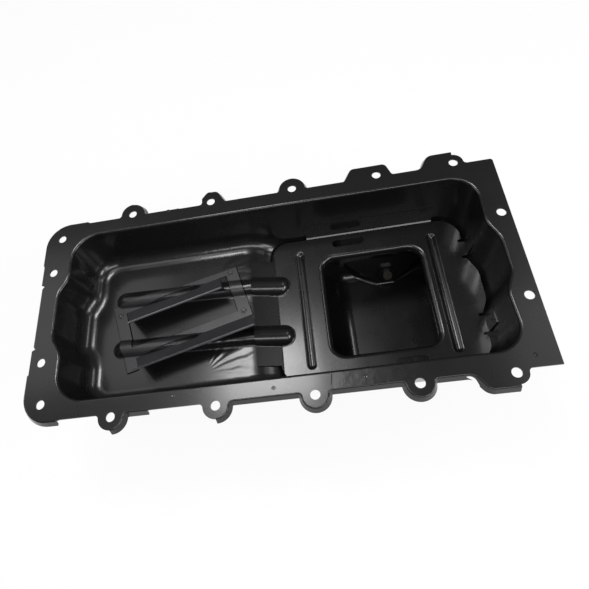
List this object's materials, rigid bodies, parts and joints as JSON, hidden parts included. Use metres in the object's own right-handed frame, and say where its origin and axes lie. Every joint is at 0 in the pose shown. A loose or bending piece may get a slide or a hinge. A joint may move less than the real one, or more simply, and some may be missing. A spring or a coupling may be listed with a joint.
{
  "type": "engine oil pan",
  "caption": "Deep-drawn engine oil pan with a stepped floor, a rear sump, a bolted flange with a turned-down lip, a windage tray and an oil scraper frame.",
  "frame": {"origin": "on the gasket face, midway between the middle bolts of the two long rails", "axes": "+X along the rails towards the square sump end, +Y across to the rail behind the drain recess, +Z out of the pan's mouth, square to the gasket face"},
  "size_m": [0.5447, 0.2862, 0.1718],
  "materials": {
    "black_paint": "satin",
    "black_paint_tray": "satin",
    "zinc": "satin",
    "seal": "matte"
  },
  "bodies": {
    "root": {"pan_shell": "black_paint", "windage_tray": "black_paint_tray", "scraper_frame": "black_paint_tray", "drain_nut": "black_paint", "drain_plug": "zinc", "drain_gasket": "seal"}
  },
  "joints": []
}
